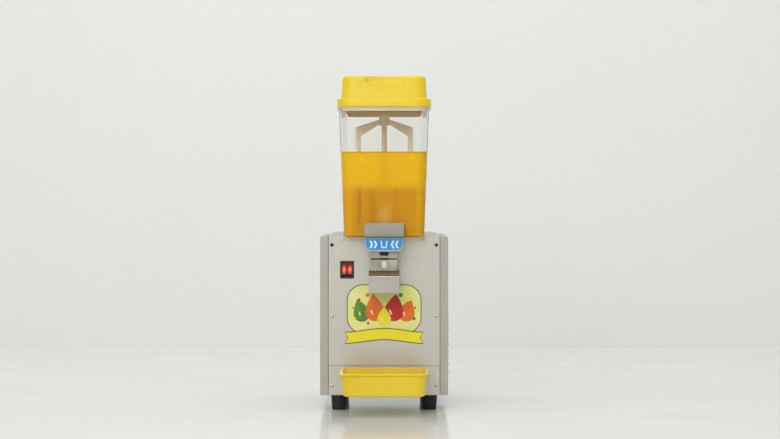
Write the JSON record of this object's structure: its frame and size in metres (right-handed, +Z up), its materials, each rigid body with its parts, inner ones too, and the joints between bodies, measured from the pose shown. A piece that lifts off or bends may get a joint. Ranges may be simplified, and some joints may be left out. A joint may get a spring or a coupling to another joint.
{
  "type": "juice dispenser",
  "caption": "Chilled juice dispenser: clear lidded bowl over a steel cooling cabinet, push tap with spout guard, pull-off drip tray with grate.",
  "frame": {"origin": "middle of the footprint on the table, under the centre of the bounding box", "axes": "+Z up, -Y towards the person who serves, +X to that person's right"},
  "size_m": [0.24, 0.46, 0.625],
  "materials": {
    "steel": "brushed stainless sheet",
    "bright_steel": "polished stainless",
    "galvanised": "galvanised sheet",
    "clear_plastic": "clear moulded plastic",
    "yellow_plastic": "moulded yellow plastic",
    "white_plastic": "moulded white plastic",
    "beige_plastic": "moulded beige plastic",
    "black_plastic": "moulded black plastic",
    "black_rubber": "moulded rubber",
    "grey_rubber": "moulded rubber",
    "blue_label": "printed film",
    "red_lens": "lit red lens",
    "copper": "drawn copper tube",
    "black_enamel": "black enamel",
    "aluminium": "pressed fins"
  },
  "bodies": {
    "cabinet": {"base_pan": "galvanised", "foot_front_left": "black_rubber", "foot_front_right": "black_rubber", "foot_rear_left": "black_rubber", "foot_rear_right": "black_rubber", "left_side_panel": "steel", "right_side_panel": "steel", "front_panel": "steel", "lower_front_panel": "steel", "top_deck": "steel", "rear_panel": "galvanised", "panel_screw_1": "bright_steel", "panel_screw_2": "bright_steel", "panel_screw_3": "bright_steel", "panel_screw_4": "bright_steel", "panel_screw_5": "bright_steel", "panel_screw_6": "bright_steel", "evaporator_dome": "bright_steel", "bowl_gasket": "grey_rubber", "evaporator_coil": "copper", "drive_motor": "black_enamel", "motor_strap": "galvanised", "pump_cover": "beige_plastic", "spray_tube": "beige_plastic", "spray_hood": "beige_plastic", "switch_bezel": "black_plastic", "thermostat": "black_plastic", "mains_inlet": "black_plastic", "compressor": "black_enamel", "start_relay": "black_plastic", "condenser": "aluminium", "fan_shroud": "black_plastic", "fan_motor": "black_enamel", "discharge_pipe": "copper", "suction_pipe": "copper", "filter_drier": "copper"},
    "bowl": {"bowl": "clear_plastic", "tap_barrel": "white_plastic", "valve_cage": "white_plastic", "valve_spring": "bright_steel", "tap_bracket": "steel", "pivot_pin": "bright_steel", "spout_guard": "steel", "lever_stop": "black_rubber", "guard_clip": "white_plastic"},
    "lid": {"lid": "yellow_plastic"},
    "push_lever": {"push_lever": "steel", "lever_label": "blue_label"},
    "plunger": {"valve_plunger": "white_plastic", "plunger_seal": "black_rubber"},
    "tray": {"drip_tray": "yellow_plastic"},
    "grate": {"drip_grate": "yellow_plastic"},
    "rocker_left": {"rocker_left": "red_lens"},
    "rocker_right": {"rocker_right": "red_lens"},
    "drive_rotor": {"drive_rotor": "galvanised"},
    "impeller": {"impeller": "white_plastic"},
    "fan": {"fan_blade": "black_plastic"},
    "thermostat_knob": {"thermostat_knob": "black_plastic"}
  },
  "joints": [
    {"name": "bowl_lift", "type": "slide", "parent": "cabinet", "child": "bowl", "axis": [0, 0, 1], "range_m": [0, 0.25]},
    {"name": "lid_lift", "type": "slide", "parent": "bowl", "child": "lid", "axis": [0, 0, 1], "range_m": [0, 0.08]},
    {"name": "lever_push", "type": "hinge", "parent": "bowl", "child": "push_lever", "pos_m": [0, -0.127, 0.316], "axis": [1, 0, 0], "range_deg": [0, 20], "stiffness_Nm_per_rad": 0.4, "springref_deg": -17.19},
    {"name": "plunger_lift", "type": "slide", "parent": "bowl", "child": "plunger", "axis": [0, 0, 1], "range_m": [0, 0.0055], "deforming": ["valve_spring"]},
    {"name": "tray_slide", "type": "slide", "parent": "cabinet", "child": "tray", "axis": [0, -1, 0], "range_m": [0, 0.15]},
    {"name": "grate_lift", "type": "slide", "parent": "tray", "child": "grate", "axis": [0, 0, 1], "range_m": [0, 0.06]},
    {"name": "rocker_left_tip", "type": "hinge", "parent": "cabinet", "child": "rocker_left", "pos_m": [-0.0748, -0.084, 0.2636], "axis": [1, 0, 0], "range_deg": [0, 16]},
    {"name": "rocker_right_tip", "type": "hinge", "parent": "cabinet", "child": "rocker_right", "pos_m": [-0.0642, -0.084, 0.2636], "axis": [1, 0, 0], "range_deg": [0, 16]},
    {"name": "drive_spin", "type": "hinge", "parent": "cabinet", "child": "drive_rotor", "pos_m": [0, 0.028, 0.35], "axis": [0, 0, 1], "continuous": true},
    {"name": "impeller_spin", "type": "hinge", "parent": "cabinet", "child": "impeller", "pos_m": [0, 0.028, 0.42], "axis": [0, 0, 1], "continuous": true},
    {"name": "fan_spin", "type": "hinge", "parent": "cabinet", "child": "fan", "pos_m": [-0.078, 0.125, 0.1045], "axis": [1, 0, 0], "continuous": true},
    {"name": "knob_turn", "type": "hinge", "parent": "cabinet", "child": "thermostat_knob", "pos_m": [0.066, 0.215, 0.266], "axis": [0, 1, 0], "range_deg": [-140, 140]}
  ],
  "couplings": [
    {"joint": "plunger_lift", "follows": "lever_push", "m_per_rad": 0.0155},
    {"joint": "impeller_spin", "follows": "drive_spin", "ratio": 1}
  ]
}
